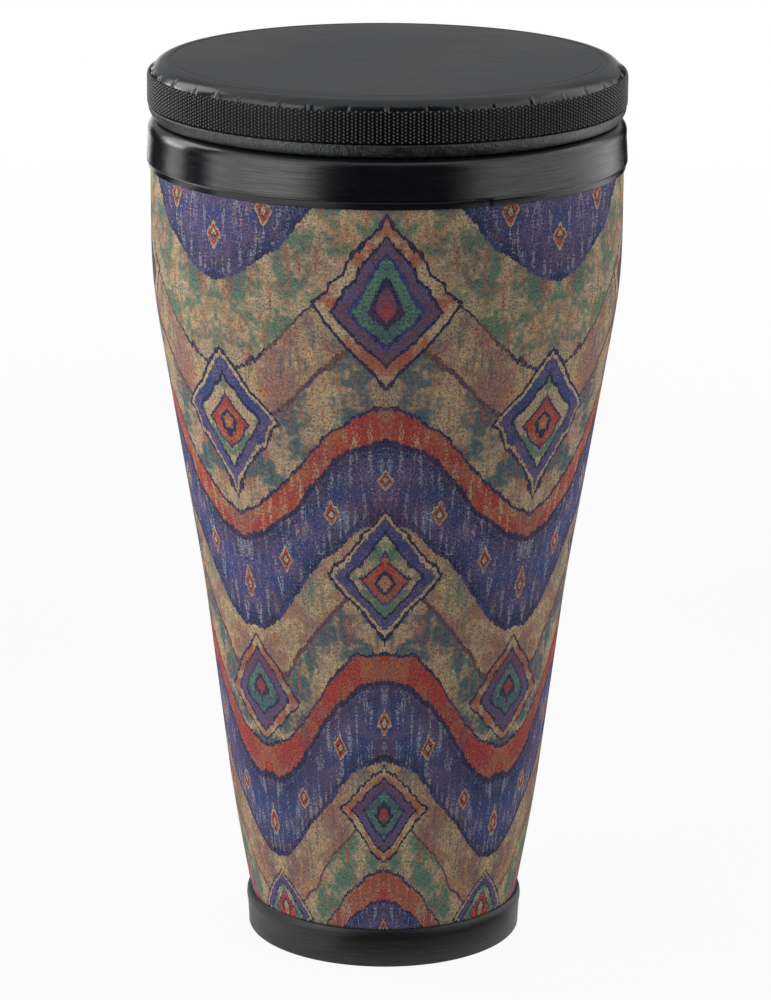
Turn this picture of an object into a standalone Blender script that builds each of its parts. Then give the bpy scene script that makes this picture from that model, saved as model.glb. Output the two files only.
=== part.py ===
"""Timbal drum: a tapered fibre tube in a printed cloth, with a pretuned head that lifts off.

Metres, +Z up. The origin is the centre of the foot's base, and the drum's axis is Z.
"""

import math

import bpy

# Driving dimensions
OVERALL_HEIGHT = 0.635
GAP = 0.0003

# Facets and helpers
STEPS = 48
ARC_SEGMENTS = 4
MERGE_DISTANCE = 0.00001
HOLDER_SIZE = 0.05

# A face below is a piece's outer side, as (inset from its radius, depth below its top) points.

# Outside of the cloth, as (height, radius) up the drum: two cones, a bend and a straight top.
CLOTH_STATIONS = (
    (0.009, 0.0932),
    (0.032, 0.0972),
    (0.068, 0.1037),
    (0.105, 0.1098),
    (0.265, 0.1293),
    (0.455, 0.1606),
    (0.474, 0.1634),
    (0.492, 0.1647),
    (0.512, 0.1649),
    (0.5705, 0.1649),
)
CLOTH_THICKNESS = 0.0007

# Shell
SHELL_WALL = 0.005
SHELL_BOTTOM = 0.005
SHELL_TOP = 0.588

# Collar: a channel, upside down, that caps the shell's top edge
COLLAR_TOP = 0.595
COLLAR_BOTTOM = 0.561
COLLAR_BORE = 0.1552
COLLAR_INNER_WALL_BOTTOM = 0.563
COLLAR_CLOTH_STEP = 0.571
COLLAR_LIP_RADIUS = 0.1676
COLLAR_WAIST_RADIUS = 0.1666
COLLAR_TOP_FLAT_RADIUS = 0.1606
COLLAR_BORE_EDGE = 0.001
COLLAR_BOTTOM_LAND = 0.0008
COLLAR_LIP_FACE = ((0.0004, 0.019), (0.0, 0.028), (0.0003, 0.030))

# Foot ring: a channel that the shell's bottom edge stands in
FOOT_LIP_TOP = 0.0284
FOOT_LIP_RADIUS = 0.0996
FOOT_BASE_RADIUS = 0.0981
FOOT_INNER_WALL = 0.0026
FOOT_INNER_WALL_TOP = 0.020
FOOT_INNER_WALL_EDGE = 0.0008
FOOT_EDGE_ROUND = 0.0014
FOOT_EDGE_SEGMENTS = 3
FOOT_BASE_TOP = 0.004
FOOT_LIP_LAND = 0.0009
FOOT_LIP_LEAD_IN = 0.0016
FOOT_LIP_FACE = ((0.0012, 0.0006), (0.0002, 0.0032), (0.0, 0.0064), (0.0007, 0.0105))

# Head
SHOULDER_ROUND = 0.008
FILM_RADIUS = 0.1644
FILM_THICKNESS = 0.0008
FILM_SKIRT_BOTTOM = 0.6049
HOOP_BORE = 0.155
HOOP_BOTTOM = 0.6048
HOOP_CROWN_EDGE = 0.0014
WEBBING_TOP = 0.627
WEBBING_BOTTOM = 0.605
WEBBING_RADIUS = 0.1669
WEBBING_FACE = ((0.0013, 0.0), (0.0005, 0.003), (0.0, 0.012), (0.0, 0.0195), (0.0006, 0.022))
CUSHION_TOP = 0.6045
CUSHION_RADIUS = 0.166
CUSHION_FLAT_RADIUS = 0.1608
CUSHION_FACE = ((0.0, 0.0), (0.0004, 0.003), (0.0018, 0.006), (0.0031, 0.008))
CENTRING_RADIUS = 0.1547
CENTRING_WALL = 0.003
CENTRING_TOP = 0.620
CENTRING_BOTTOM = 0.575
CENTRING_LEAD_IN = 0.0014


def clear_scene():
    for item in list(bpy.data.objects):
        bpy.data.objects.remove(item, do_unlink=True)


def make_material(name, colour, roughness, metallic=0.0):
    material = bpy.data.materials.new(name)
    material.use_nodes = True
    shader = material.node_tree.nodes["Principled BSDF"]
    shader.inputs["Base Color"].default_value = (*colour, 1.0)
    shader.inputs["Roughness"].default_value = roughness
    shader.inputs["Metallic"].default_value = metallic
    return material


def turned(name, profile, material, parent, ring=True):
    """A solid of revolution about Z. The profile holds (radius, height) points down its outer side."""
    mesh = bpy.data.meshes.new(name)
    points = [(radius, 0.0, height) for radius, height in profile]
    edges = [(i, i + 1) for i in range(len(points) - 1)]
    if ring:
        edges.append((len(points) - 1, 0))
    mesh.from_pydata(points, edges, [])
    item = bpy.data.objects.new(name, mesh)
    parent.users_collection[0].objects.link(item)
    item.parent = parent
    item.matrix_parent_inverse = parent.matrix_world.inverted()
    screw = item.modifiers.new("turn", "SCREW")
    screw.axis = "Z"
    screw.angle = 2 * math.pi
    screw.steps = STEPS
    screw.render_steps = STEPS
    screw.use_merge_vertices = True
    screw.merge_threshold = MERGE_DISTANCE
    screw.use_smooth_shade = True
    item.data.materials.append(material)
    return item


def arc(centre_radius, centre_height, radius, start_deg, end_deg, segments=ARC_SEGMENTS):
    """Points of an arc in the profile's plane. 0 degrees points outwards and 90 degrees points up."""
    points = []
    for step in range(segments + 1):
        angle = math.radians(start_deg + (end_deg - start_deg) * step / segments)
        points.append(
            (
                centre_radius + radius * math.cos(angle),
                centre_height + radius * math.sin(angle),
            )
        )
    return points


def down_face(radius, top, face):
    """Points down a piece's outer side."""
    return [(radius - inset, top - depth) for inset, depth in face]


def cloth_radius(height):
    """Radius of the outside of the cloth at a height, straight on past the last station at each end."""
    stations = CLOTH_STATIONS
    below = stations[0]
    above = stations[1]
    for lower, upper in zip(stations, stations[1:]):
        if height >= lower[0]:
            below = lower
            above = upper
    slope = (above[1] - below[1]) / (above[0] - below[0])
    return below[1] + slope * (height - below[0])


def wall_profile(bottom, top, outer_offset, wall):
    """A tube that follows the cloth's outside, moved in by outer_offset."""
    inside = [height for height, _ in CLOTH_STATIONS if bottom < height < top]
    heights = [bottom, *inside, top]
    outer = [(cloth_radius(height) - outer_offset, height) for height in reversed(heights)]
    inner = [(cloth_radius(height) - outer_offset - wall, height) for height in heights]
    return outer + inner


def make_shell(parent):
    material = make_material("fibre_shell", (0.20, 0.13, 0.08), 0.8)
    profile = wall_profile(SHELL_BOTTOM, SHELL_TOP, CLOTH_THICKNESS + GAP, SHELL_WALL)
    return turned("shell", profile, material, parent)


def make_fabric_wrap(parent):
    material = make_material("printed_cloth", (0.16, 0.13, 0.20), 0.85)
    bottom = CLOTH_STATIONS[0][0]
    top = CLOTH_STATIONS[-1][0]
    return turned("fabric_wrap", wall_profile(bottom, top, 0.0, CLOTH_THICKNESS), material, parent)


def make_collar(parent):
    material = make_material("black_moulding", (0.012, 0.012, 0.013), 0.3)
    cloth = cloth_radius(COLLAR_CLOTH_STEP)
    shell_outside = cloth - CLOTH_THICKNESS - GAP
    shell_inside = shell_outside - SHELL_WALL
    edge = COLLAR_WAIST_RADIUS - COLLAR_TOP_FLAT_RADIUS
    profile = [
        (COLLAR_BORE + COLLAR_BORE_EDGE, COLLAR_TOP),
        *reversed(arc(COLLAR_TOP_FLAT_RADIUS, COLLAR_TOP - edge, edge, 0, 90)),
        *down_face(COLLAR_LIP_RADIUS, COLLAR_TOP, COLLAR_LIP_FACE),
        (cloth + COLLAR_BOTTOM_LAND, COLLAR_BOTTOM),
        (cloth + GAP, COLLAR_BOTTOM),
        (cloth + GAP, COLLAR_CLOTH_STEP),
        (shell_outside + GAP, COLLAR_CLOTH_STEP + CLOTH_THICKNESS),
        (shell_outside + GAP, SHELL_TOP + GAP),
        (shell_inside - GAP, SHELL_TOP + GAP),
        (shell_inside - GAP, COLLAR_INNER_WALL_BOTTOM),
        (COLLAR_BORE, COLLAR_INNER_WALL_BOTTOM),
        (COLLAR_BORE, COLLAR_TOP - COLLAR_BORE_EDGE),
    ]
    return turned("collar", profile, material, parent)


def make_foot_ring(parent):
    material = make_material("black_rubber", (0.016, 0.016, 0.017), 0.5)
    offset = CLOTH_THICKNESS + GAP + SHELL_WALL + GAP
    cloth_bottom = CLOTH_STATIONS[0][0]
    floor = SHELL_BOTTOM - GAP
    fabric_floor = cloth_bottom - GAP
    wall_top = FOOT_INNER_WALL_TOP
    wall_edge = FOOT_INNER_WALL_EDGE
    lead_in = FOOT_LIP_TOP - FOOT_LIP_LEAD_IN
    edge_radius = FOOT_BASE_RADIUS - FOOT_EDGE_ROUND
    profile = [
        (cloth_radius(FOOT_LIP_TOP) + FOOT_LIP_LAND, FOOT_LIP_TOP),
        *down_face(FOOT_LIP_RADIUS, FOOT_LIP_TOP, FOOT_LIP_FACE),
        (FOOT_BASE_RADIUS, FOOT_BASE_TOP),
        *arc(edge_radius, FOOT_EDGE_ROUND, FOOT_EDGE_ROUND, 0, -90, FOOT_EDGE_SEGMENTS),
        (cloth_radius(0.0) - offset - FOOT_INNER_WALL + wall_edge, 0.0),
        (cloth_radius(wall_edge) - offset - FOOT_INNER_WALL, wall_edge),
        (cloth_radius(wall_top) - offset - FOOT_INNER_WALL, wall_top),
        (cloth_radius(wall_top) - offset, wall_top),
        (cloth_radius(floor) - offset, floor),
        (cloth_radius(floor) - CLOTH_THICKNESS, floor),
        (cloth_radius(fabric_floor) - CLOTH_THICKNESS, fabric_floor),
        (cloth_radius(fabric_floor) + GAP, fabric_floor),
        (cloth_radius(lead_in) + GAP, lead_in),
    ]
    return turned("foot_ring", profile, material, parent)


def make_head_film(parent):
    material = make_material("playing_film", (0.075, 0.08, 0.083), 0.5)
    centre_radius = FILM_RADIUS - SHOULDER_ROUND
    centre_height = OVERALL_HEIGHT - SHOULDER_ROUND
    inner_round = SHOULDER_ROUND - FILM_THICKNESS
    profile = [
        (0.0, OVERALL_HEIGHT),
        *reversed(arc(centre_radius, centre_height, SHOULDER_ROUND, 0, 90)),
        (FILM_RADIUS, FILM_SKIRT_BOTTOM),
        (FILM_RADIUS - FILM_THICKNESS, FILM_SKIRT_BOTTOM),
        *arc(centre_radius, centre_height, inner_round, 0, 90),
        (0.0, OVERALL_HEIGHT - FILM_THICKNESS),
    ]
    return turned("head_film", profile, material, parent, ring=False)


def make_head_hoop(parent):
    material = make_material("fibre_hoop", (0.17, 0.11, 0.07), 0.75)
    centre_radius = FILM_RADIUS - SHOULDER_ROUND
    centre_height = OVERALL_HEIGHT - SHOULDER_ROUND
    hoop_round = SHOULDER_ROUND - FILM_THICKNESS - GAP
    crown = centre_height + hoop_round
    profile = [
        *reversed(arc(centre_radius, centre_height, hoop_round, 0, 90)),
        (centre_radius + hoop_round, HOOP_BOTTOM),
        (HOOP_BORE, HOOP_BOTTOM),
        (HOOP_BORE, crown - HOOP_CROWN_EDGE),
    ]
    return turned("head_hoop", profile, material, parent)


def make_webbing_band(parent):
    material = make_material("black_webbing", (0.012, 0.012, 0.012), 0.7)
    bore = FILM_RADIUS + GAP
    profile = [
        *down_face(WEBBING_RADIUS, WEBBING_TOP, WEBBING_FACE),
        (bore, WEBBING_BOTTOM),
        (bore, WEBBING_TOP),
    ]
    return turned("webbing_band", profile, material, parent)


def make_cushion_ring(parent):
    material = make_material("grey_foam", (0.07, 0.073, 0.075), 0.9)
    bottom = COLLAR_TOP + GAP
    profile = [
        *down_face(CUSHION_RADIUS, CUSHION_TOP, CUSHION_FACE),
        (CUSHION_FLAT_RADIUS, bottom),
        (CENTRING_RADIUS + GAP, bottom),
        (CENTRING_RADIUS + GAP, CUSHION_TOP),
    ]
    return turned("cushion_ring", profile, material, parent)


def make_centring_ring(parent):
    material = make_material("black_ring", (0.02, 0.02, 0.021), 0.5)
    bore = CENTRING_RADIUS - CENTRING_WALL
    lead_in = CENTRING_LEAD_IN
    profile = [
        (CENTRING_RADIUS, CENTRING_TOP),
        (CENTRING_RADIUS, CENTRING_BOTTOM + lead_in),
        (CENTRING_RADIUS - lead_in, CENTRING_BOTTOM),
        (bore, CENTRING_BOTTOM),
        (bore, CENTRING_TOP),
    ]
    return turned("centring_ring", profile, material, parent)


def make_holder(name, collection):
    """An empty on the drum's axis that a group of pieces hangs from."""
    holder = bpy.data.objects.new(name, None)
    holder.empty_display_size = HOLDER_SIZE
    collection.objects.link(holder)
    return holder


def main():
    clear_scene()
    collection = bpy.data.collections.new("timbal_drum")
    bpy.context.scene.collection.children.link(collection)

    drum = make_holder("drum_body", collection)
    make_shell(drum)
    make_fabric_wrap(drum)
    make_collar(drum)
    make_foot_ring(drum)

    head = make_holder("head_unit", collection)
    head.parent = drum
    make_head_film(head)
    make_head_hoop(head)
    make_webbing_band(head)
    make_cushion_ring(head)
    make_centring_ring(head)


main()
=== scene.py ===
"""Looks of the timbal drum: film head, woven strap, moulded collar and foot, and printed cloth."""

import math
import random

import bpy
from mathutils import Color, Euler, Matrix, Vector


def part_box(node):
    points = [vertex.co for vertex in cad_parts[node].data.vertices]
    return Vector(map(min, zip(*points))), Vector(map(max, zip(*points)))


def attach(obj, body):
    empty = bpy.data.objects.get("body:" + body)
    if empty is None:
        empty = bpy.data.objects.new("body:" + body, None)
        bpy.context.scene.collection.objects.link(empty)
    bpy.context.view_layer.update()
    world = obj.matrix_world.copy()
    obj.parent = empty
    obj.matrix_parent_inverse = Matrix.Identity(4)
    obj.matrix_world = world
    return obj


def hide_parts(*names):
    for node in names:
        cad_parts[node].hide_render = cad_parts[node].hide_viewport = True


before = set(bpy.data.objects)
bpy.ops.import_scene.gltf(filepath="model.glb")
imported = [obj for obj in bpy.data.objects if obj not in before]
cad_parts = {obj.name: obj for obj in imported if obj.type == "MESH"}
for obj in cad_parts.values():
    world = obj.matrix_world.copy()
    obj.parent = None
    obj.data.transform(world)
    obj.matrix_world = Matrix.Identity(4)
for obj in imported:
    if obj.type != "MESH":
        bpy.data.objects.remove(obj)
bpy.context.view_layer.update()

# Sizes in metres and angles in degrees. The front of the drum faces -Y. A face is part of an
# outline, as (distance in from a radius, distance from the piece's top or bottom) points.
FRONT = -90.0
FULL_TURN = 2 * math.pi
GLUE_GAP = 0.0002
MERGE_DISTANCE = 0.000005
START_SIZE = 0.001
SMOOTH_BELOW = 40.0
HIDDEN_FACETS = 240
ROUND_STEPS = 8

# Playing film
FILM_THICKNESS = 0.0008
SHOULDER_INSET = 0.0125
SHOULDER_DROP = 0.0095
SHOULDER_SPANS = 2
FILM_SHOULDER = (
    (SHOULDER_INSET, 0.0),
    (0.0095, 0.0004),
    (0.0065, 0.0014),
    (0.0040, 0.0031),
    (0.0020, 0.0052),
    (0.0006, 0.0075),
    (0.0, SHOULDER_DROP),
)
FILM_CREASE = ((0.0175, 0.0), (0.0159, 0.00008), (0.0152, 0.00040), (0.0145, 0.00008))

# Crimps in the film's skirt. Each is a ridge with a groove beside it, in a wide shallow dip.
CRIMP_COUNT = 40
CRIMP_COLUMNS = 32
CRIMP_PITCH = 360.0 / CRIMP_COUNT
CRIMP_SEED = 7
CRIMP_SHIFT = 0.16
CRIMP_SIZES = (0.6, 1.25)
CRIMP_RISES = (0.75, 1.2)
CRIMP_HEIGHT = 0.0010
CRIMP_WIDTH = 0.0011
CRIMP_REACH = 0.0062
CRIMP_FADE = 0.8
CRIMP_SKIRT = 0.003
CRIMP_LIFT = 0.5
GROOVE_SHARE = 0.45
GROOVE_PLACE = 0.0022
GROOVE_WIDTH = 0.0010
DIP_DEPTH = 0.00022
DIP_WIDTH = 0.0065

# Strap. Its stitches come in pairs: (side, how far up its row).
STRAP_FACETS = 360
STRAP_ROUNDING = 0.0030
STRAP_TOP_FACE = ((0.0009, 0.0), (0.0003, 0.0005), (0.0, STRAP_ROUNDING))
STRAP_FOOT_FACE = ((0.0, 0.0030), (0.0003, 0.0006), (0.0010, 0.0))
STRAP_DRAW_IN = 0.0007
STRAP_LAP = 14.0
STRAP_LAP_RISE = 5.0
STRAP_STEP = 0.0011
STRAP_LAP_GAP = 0.0005
WEAVE_COLUMNS = 190
WEAVE_ROWS = 9
WEAVE_MARGIN = 0.0010
STITCH_PAIR = ((-1, 0.25), (1, 0.75))
PAIR_SPREAD = 0.225
STITCH_LENGTH = 0.00205
STITCH_WIDTH = 0.00135
STITCH_STANDS = 0.0012
STITCH_SLANT = 36.0
STITCH_MESH = {"segments": 6, "ring_count": 4, "radius": 0.5}

# Cushion ring
CUSHION_FACETS = 720
CUSHION_FACE = ((0.0006, 0.0), (0.0, 0.0008), (0.0004, 0.0034), (0.0018, 0.0062), (0.0031, 0.0082))
CUSHION_FOOT = 0.0052
CUSHION_SEED = 11
CUSHION_GRAIN = 0.00010
CUSHION_PLAIN_EDGE = 0.0005
CUSHION_PLAIN_BORE = 0.002

# Hoop and centring ring
HOOP_BORE_EDGE = ((0.0, 0.0030), (-0.0008, 0.0014))
HOOP_CLEARANCE = 0.0002
HOOP_ROUND = 0.0090
HOOP_ROUND_DROP = 0.0098
HOOP_ROUND_END = 70
RING_WALL = 0.003
RING_EDGE = 0.0004
RING_LEAD_IN = ((0.0, 0.0016), (0.0012, 0.0))

# Tube and cloth
SHELL_INSET = 0.0010
SHELL_WALL = 0.005
CLOTH_FACETS = 480
CLOTH_THICKNESS = 0.0007
CLOTH_STEPS = 72
CLOTH_EASE = 0.022
EASE_SAMPLES = 6
HEIGHT_DIGITS = 4
SEAM_ANGLE = 90.0
SEAM_WIDTH = 5.0
SEAM_RISE = 2.0
SEAM_STEP = 0.0005
SEAM_FACE_DEPTH = 0.0003

# Collar. The nick is a small knock in its lower lip, with a wide shallow scuff beside it.
COLLAR_FACETS = 960
COLLAR_BORE_GAP = 0.0005
COLLAR_BORE_EDGE = 0.0010
COLLAR_WAIST_INSET = 0.0010
COLLAR_ROUND = 0.0085
COLLAR_ROUND_END = 82
COLLAR_WAIST_FACE = ((0.0001, 0.0110),)
COLLAR_LIP_FACE = (
    (0.0007, 0.0160),
    (0.0003, 0.0090),
    (0.0001, 0.0067),
    (0.0007, 0.0062),
    (0.0007, 0.0054),
    (0.0002, 0.0049),
    (0.0007, 0.0036),
)
COLLAR_SKIRT_EDGE = ((-0.0014, 0.0006), (-0.0004, 0.0), (-0.0003, 0.0100))
CHANNEL_GAP = 0.0003
CHANNEL_STEP = 0.0110
CHANNEL_ROOF = 0.0067
COLLAR_INNER_FOOT = 0.0020
NICK_ANGLE = 24.0
NICK_DEPTH = 0.0005
NICK_WIDTH = 0.0022
NICK_TOP = 0.0062
NICK_REACH_IN = 0.0026
NICK_LIFT = 0.6
SCUFF_SHARE = 0.4
SCUFF_PLACE = -0.007
SCUFF_WIDTH = 0.005

# Foot ring. Its channel's points are (radius, height).
FOOT_FACETS = 720
FOOT_LIP_FACE = (
    (0.0025, 0.0),
    (0.0017, 0.0002),
    (0.0010, 0.0010),
    (0.0003, 0.0030),
    (0.0, 0.0064),
    (0.0002, 0.0086),
    (0.0007, 0.0110),
)
FOOT_BASE_INSET = 0.0015
FOOT_BASE_TOP = 0.0040
FOOT_EDGE_ROUND = 0.0014
FOOT_ROUND_STEPS = 4
FOOT_CHANNEL = (
    (0.0835, 0.0),
    (0.0828, 0.0008),
    (0.0863, 0.0200),
    (0.0888, 0.0200),
    (0.0862, 0.0048),
    (0.0918, 0.0048),
    (0.0925, 0.0087),
    (0.0935, 0.0087),
)
FOOT_LIP_BORE = 0.0966
FOOT_LIP_LEAD_IN = 0.0016

# Camera, fitted to the photo's outline
CAMERA_PLACE = (0.0, -2.950, 1.132)
CAMERA_TILT = 74.56
CAMERA_ROLL = 0.29
CAMERA_LENS = 154.65
CAMERA_SENSOR = 36.0
CAMERA_FAR = 40.0

# Studio. Bearings run from the camera's side, plus to its right. A soft box is
# (name, bearing, low, high, width, light per area), and a curtain is
# (name, from bearing, to bearing, distance, low, high, light).
ROOM_LIGHT = 0.45
FLOOR_MESH = {"vertices": 128, "radius": 12.0, "fill_type": "NGON"}
FLOOR_GREY = 0.8
FLOOR_WHITENING = {"From_Min": 0.1, "From_Max": 9.0, "To_Min": 0.93}
BOX_DISTANCE = 1.3
CURTAIN_FACET = 4.0
CURTAIN_GREY = 0.012
CURTAIN_LIFT = 0.001
APRON_BEARINGS = (-25.0, 83.0)
APRON_START = 0.115
APRON_END = 0.95
APRON_LIFT = 0.0015
SOFT_BOXES = [
    ("left_box_edge", -33.0, 0.05, 1.9, 0.22, 0.7),
    ("left_box", -52.0, 0.05, 1.9, 0.62, 1.9),
    ("left_box_side", -76.0, 0.05, 1.9, 0.46, 1.3),
    ("left_rear_low_strip", -115.0, 0.05, 0.50, 0.30, 0.31),
    ("left_rear_strip", -117.0, 0.55, 0.95, 0.55, 4.4),
    ("left_rear_high_strip", -119.0, 0.98, 1.8, 0.60, 2.4),
    ("right_box_edge", 36.0, 0.05, 1.9, 0.24, 0.28),
    ("right_box", 70.0, 0.05, 1.9, 1.25, 0.52),
    ("right_rear_box", 115.0, 0.05, 1.9, 0.80, 0.75),
]
CURTAINS = [
    ("front_curtain", -31.0, 36.0, 0.95, 0.0, 2.0, 0.0),
    ("left_gap_curtain", -105.0, -89.0, 0.95, 0.0, 1.2, 0.0),
    ("left_rear_curtain", -148.0, -121.0, 0.95, 0.0, 0.7, 0.0),
    ("right_rear_curtain", 136.0, 160.0, 0.95, 0.0, 0.7, 0.0),
    ("back_grey_card", 125.0, 235.0, 1.5, 0.72, 1.9, 0.34),
]


def select_only(piece):
    bpy.ops.object.select_all(action="DESELECT")
    bpy.context.view_layer.objects.active = piece
    piece.select_set(True)


def settle(piece):
    """Puts a piece's place into its mesh, so that its object sits at the origin."""
    select_only(piece)
    bpy.ops.object.transform_apply(location=True, rotation=True, scale=True)
    return piece


def start_point(name, place):
    """A mesh of one point, left in edit mode so that more can be drawn out of it."""
    bpy.ops.object.select_all(action="DESELECT")
    bpy.ops.mesh.primitive_plane_add(size=START_SIZE, location=place)
    piece = bpy.context.object
    piece.name = name
    piece.data.name = name
    bpy.ops.object.mode_set(mode="EDIT")
    bpy.ops.mesh.select_mode(type="VERT")
    bpy.ops.mesh.merge(type="CENTER")
    return piece


def turn_outline(name, outline, facets, closed=True):
    """A piece turned about Z from an outline of (radius, height) points."""
    radius, height = outline[0]
    piece = start_point(name, (radius, 0, height))
    ends = outline[1:] + outline[:1] if closed else outline[1:]
    for (r0, z0), (r1, z1) in zip(outline, ends):
        move = {"value": (r1 - r0, 0, z1 - z0)}
        bpy.ops.mesh.extrude_vertices_move(TRANSFORM_OT_translate=move)
    bpy.ops.mesh.select_all(action="SELECT")
    bpy.ops.mesh.remove_doubles(threshold=MERGE_DISTANCE)
    bpy.ops.object.mode_set(mode="OBJECT")
    settle(piece)
    turn = piece.modifiers.new("turn", "SCREW")
    turn.steps = facets
    turn.render_steps = facets
    turn.use_merge_vertices = True
    turn.merge_threshold = MERGE_DISTANCE
    bpy.ops.object.modifier_apply(modifier=turn.name)
    bpy.ops.object.mode_set(mode="EDIT")
    bpy.ops.mesh.select_all(action="SELECT")
    bpy.ops.mesh.normals_make_consistent(inside=False)
    bpy.ops.object.mode_set(mode="OBJECT")
    bpy.ops.object.shade_smooth_by_angle(angle=math.radians(SMOOTH_BELOW))
    return piece


def down_from(radius, top, face):
    """A face's points, measured in from a radius and down from the top."""
    return [(radius - inset, top - depth) for inset, depth in face]


def up_from(radius, bottom, face):
    """A face's points, measured in from a radius and up from the bottom."""
    return [(radius - inset, bottom + rise) for inset, rise in face]


def part_way(before, start, end, after, share):
    """A value part way from the start to the end, on a smooth curve through all four."""
    slope = end - before
    bow = 2 * before - 5 * start + 4 * end - after
    twist = 3 * start - before - 3 * end + after
    return (2 * start + slope * share + bow * share**2 + twist * share**3) / 2


def smooth_line(points, per_span):
    """Points along a smooth curve through the given ones."""
    padded = [points[0], *points, points[-1]]
    line = []
    for four in zip(padded, padded[1:], padded[2:], padded[3:]):
        for step in range(per_span):
            line.append(tuple(part_way(*values, step / per_span) for values in zip(*four)))
    line.append(points[-1])
    return line


def bend(centre, radius, start, end, steps):
    """Points of an arc in the outline's plane. 0 degrees points outwards and 90 degrees up."""
    points = []
    for step in range(steps + 1):
        angle = math.radians(start + (end - start) * step / steps)
        points.append((centre[0] + radius * math.cos(angle), centre[1] + radius * math.sin(angle)))
    return points


def reach(node):
    """A round node's outer radius, its bottom and its top."""
    low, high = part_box(node)
    return high.x, low.z, high.z


def angle_of(place):
    """A point's angle about the drum's axis in degrees, with 0 at +X and the front at -90."""
    return math.degrees(math.atan2(place.y, place.x))


def turn_between(first, second):
    """The signed angle from the first to the second, from -180 to 180."""
    return (second - first + 180.0) % 360.0 - 180.0


def from_axis(place):
    return math.hypot(place.x, place.y)


def push_out(vertex, push, lift=0.0):
    """Moves a point straight out from the drum's axis, and up."""
    grow = 1.0 + push / from_axis(vertex.co)
    vertex.co = Vector((vertex.co.x * grow, vertex.co.y * grow, vertex.co.z + lift))


def bell(across, width):
    """1 in the middle, and next to nothing at twice the width."""
    return math.exp(-((across / width) ** 2))


def finish_piece(piece, material, body, node):
    piece.data.materials.clear()
    piece.data.materials.append(material)
    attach(piece, body)
    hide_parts(node)
    return piece


# Colours and shader nodes. A grain is a noise's (scale, detail, roughness), and how much finer it
# is along each axis where that differs. A fade is (value at its start, value at its end, grey at
# its start, grey at its end). A specular or roughness pair is (most that a mask adds, least).
MIX_AMOUNT = 0
MIX_FIRST = 6
MIX_SECOND = 7
MIX_COLOUR = 2


def paint(red, green, blue):
    """A colour given as 0 to 255 screen values, as the linear values that a shader takes."""
    screen = Color((red / 255, green / 255, blue / 255))
    return (*screen.from_srgb_to_scene_linear(), 1.0)


def lighten(colour, times, lift=0.0):
    return (*(min(1.0, value * times + lift) for value in colour[:3]), 1.0)


def grey(level):
    return (level, level, level, 1.0)


def wire(tree, target, value):
    if isinstance(value, bpy.types.NodeSocket):
        tree.links.new(value, target)
    else:
        target.default_value = value


def feed(tree, node, **inputs):
    """Sets a node's inputs, given by name, each as a value or as the socket that feeds it."""
    for name, value in inputs.items():
        wire(tree, node.inputs[name.replace("_", " ")], value)


def add(tree, kind, settings=None, **inputs):
    """A new node, with its settings and its inputs given by name."""
    made = tree.nodes.new("ShaderNode" + kind)
    for name, value in (settings or {}).items():
        setattr(made, name, value)
    feed(tree, made, **inputs)
    return made


def calc(tree, operation, *values):
    made = tree.nodes.new("ShaderNodeMath")
    made.operation = operation
    for socket, value in zip(made.inputs, values):
        wire(tree, socket, value)
    return made.outputs[0]


def weigh(tree, first, first_share, second, second_share):
    """The sum of two values, each taken by its share."""
    return calc(tree, "MULTIPLY_ADD", first, first_share, calc(tree, "MULTIPLY", second, second_share))


def mix(tree, amount, first, second, mode="MIX"):
    made = tree.nodes.new("ShaderNodeMix")
    made.data_type = "RGBA"
    made.blend_type = mode
    wire(tree, made.inputs[MIX_AMOUNT], amount)
    wire(tree, made.inputs[MIX_FIRST], first)
    wire(tree, made.inputs[MIX_SECOND], second)
    return made.outputs[MIX_COLOUR]


def ramp(tree, value, stops, interpolation="LINEAR"):
    """Colours along a value. The stops are (position, colour)."""
    made = add(tree, "ValToRGB", Fac=value)
    made.color_ramp.interpolation = interpolation
    elements = made.color_ramp.elements
    while len(elements) < len(stops):
        elements.new(0.5)
    for element, stop in zip(elements, stops):
        element.position = stop[0]
    for element, stop in zip(elements, stops):
        element.color = stop[1]
    return made.outputs[0]


def fade(tree, value, levels):
    """A grey that follows a value from the fade's start to its end."""
    start, end, first, last = levels
    return ramp(tree, value, [(start, grey(first)), (end, grey(last))])


def noise(tree, place, grain):
    scale, detail, roughness, *finer = grain
    if finer:
        place = add(tree, "Mapping", Vector=place, Scale=finer[0]).outputs[0]
    made = add(tree, "TexNoise", Vector=place, Scale=scale, Detail=detail, Roughness=roughness)
    return made.outputs[0]


def paleness(tree, colour, levels):
    """A fade that follows how pale a colour is."""
    return fade(tree, add(tree, "RGBToBW", Color=colour).outputs[0], levels)


def bump(tree, strength, distance, height):
    return add(tree, "Bump", Strength=strength, Distance=distance, Height=height).outputs[0]


def squared_distance(tree, place):
    """The square of a place's distance from the drum's axis."""
    split = add(tree, "SeparateXYZ", Vector=place).outputs
    return calc(tree, "ADD", calc(tree, "POWER", split[0], 2.0), calc(tree, "POWER", split[1], 2.0))


def new_material(name):
    material = bpy.data.materials.new(name)
    material.use_nodes = True
    shader = material.node_tree.nodes["Principled BSDF"]
    place = add(material.node_tree, "TexCoord").outputs["Object"]
    return material, material.node_tree, shader, place


# Playing film
FILM_BRUSHED = (90, 5, 0.65, (0.12, 3.0, 1.0))
FILM_CLOUD = (9, 3, 0.55)
FILM_TOOTH = (1400, 2, 0.5)
FILM_TONES = [(0.43, paint(15, 18, 22)), (0.50, paint(25, 28, 32)), (0.57, paint(36, 39, 43))]
FILM_SATIN = (0.42, 0.58, 0.33, 0.42)
FILM_STRETCHED = {"From_Min": 0.152, "From_Max": 0.160}
FILM_STRETCHED_ROUGHNESS = 0.17
FILM_SPECULAR = (0.1, 0.3)
FILM_RELIEF = (0.08, 0.0004)


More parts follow.
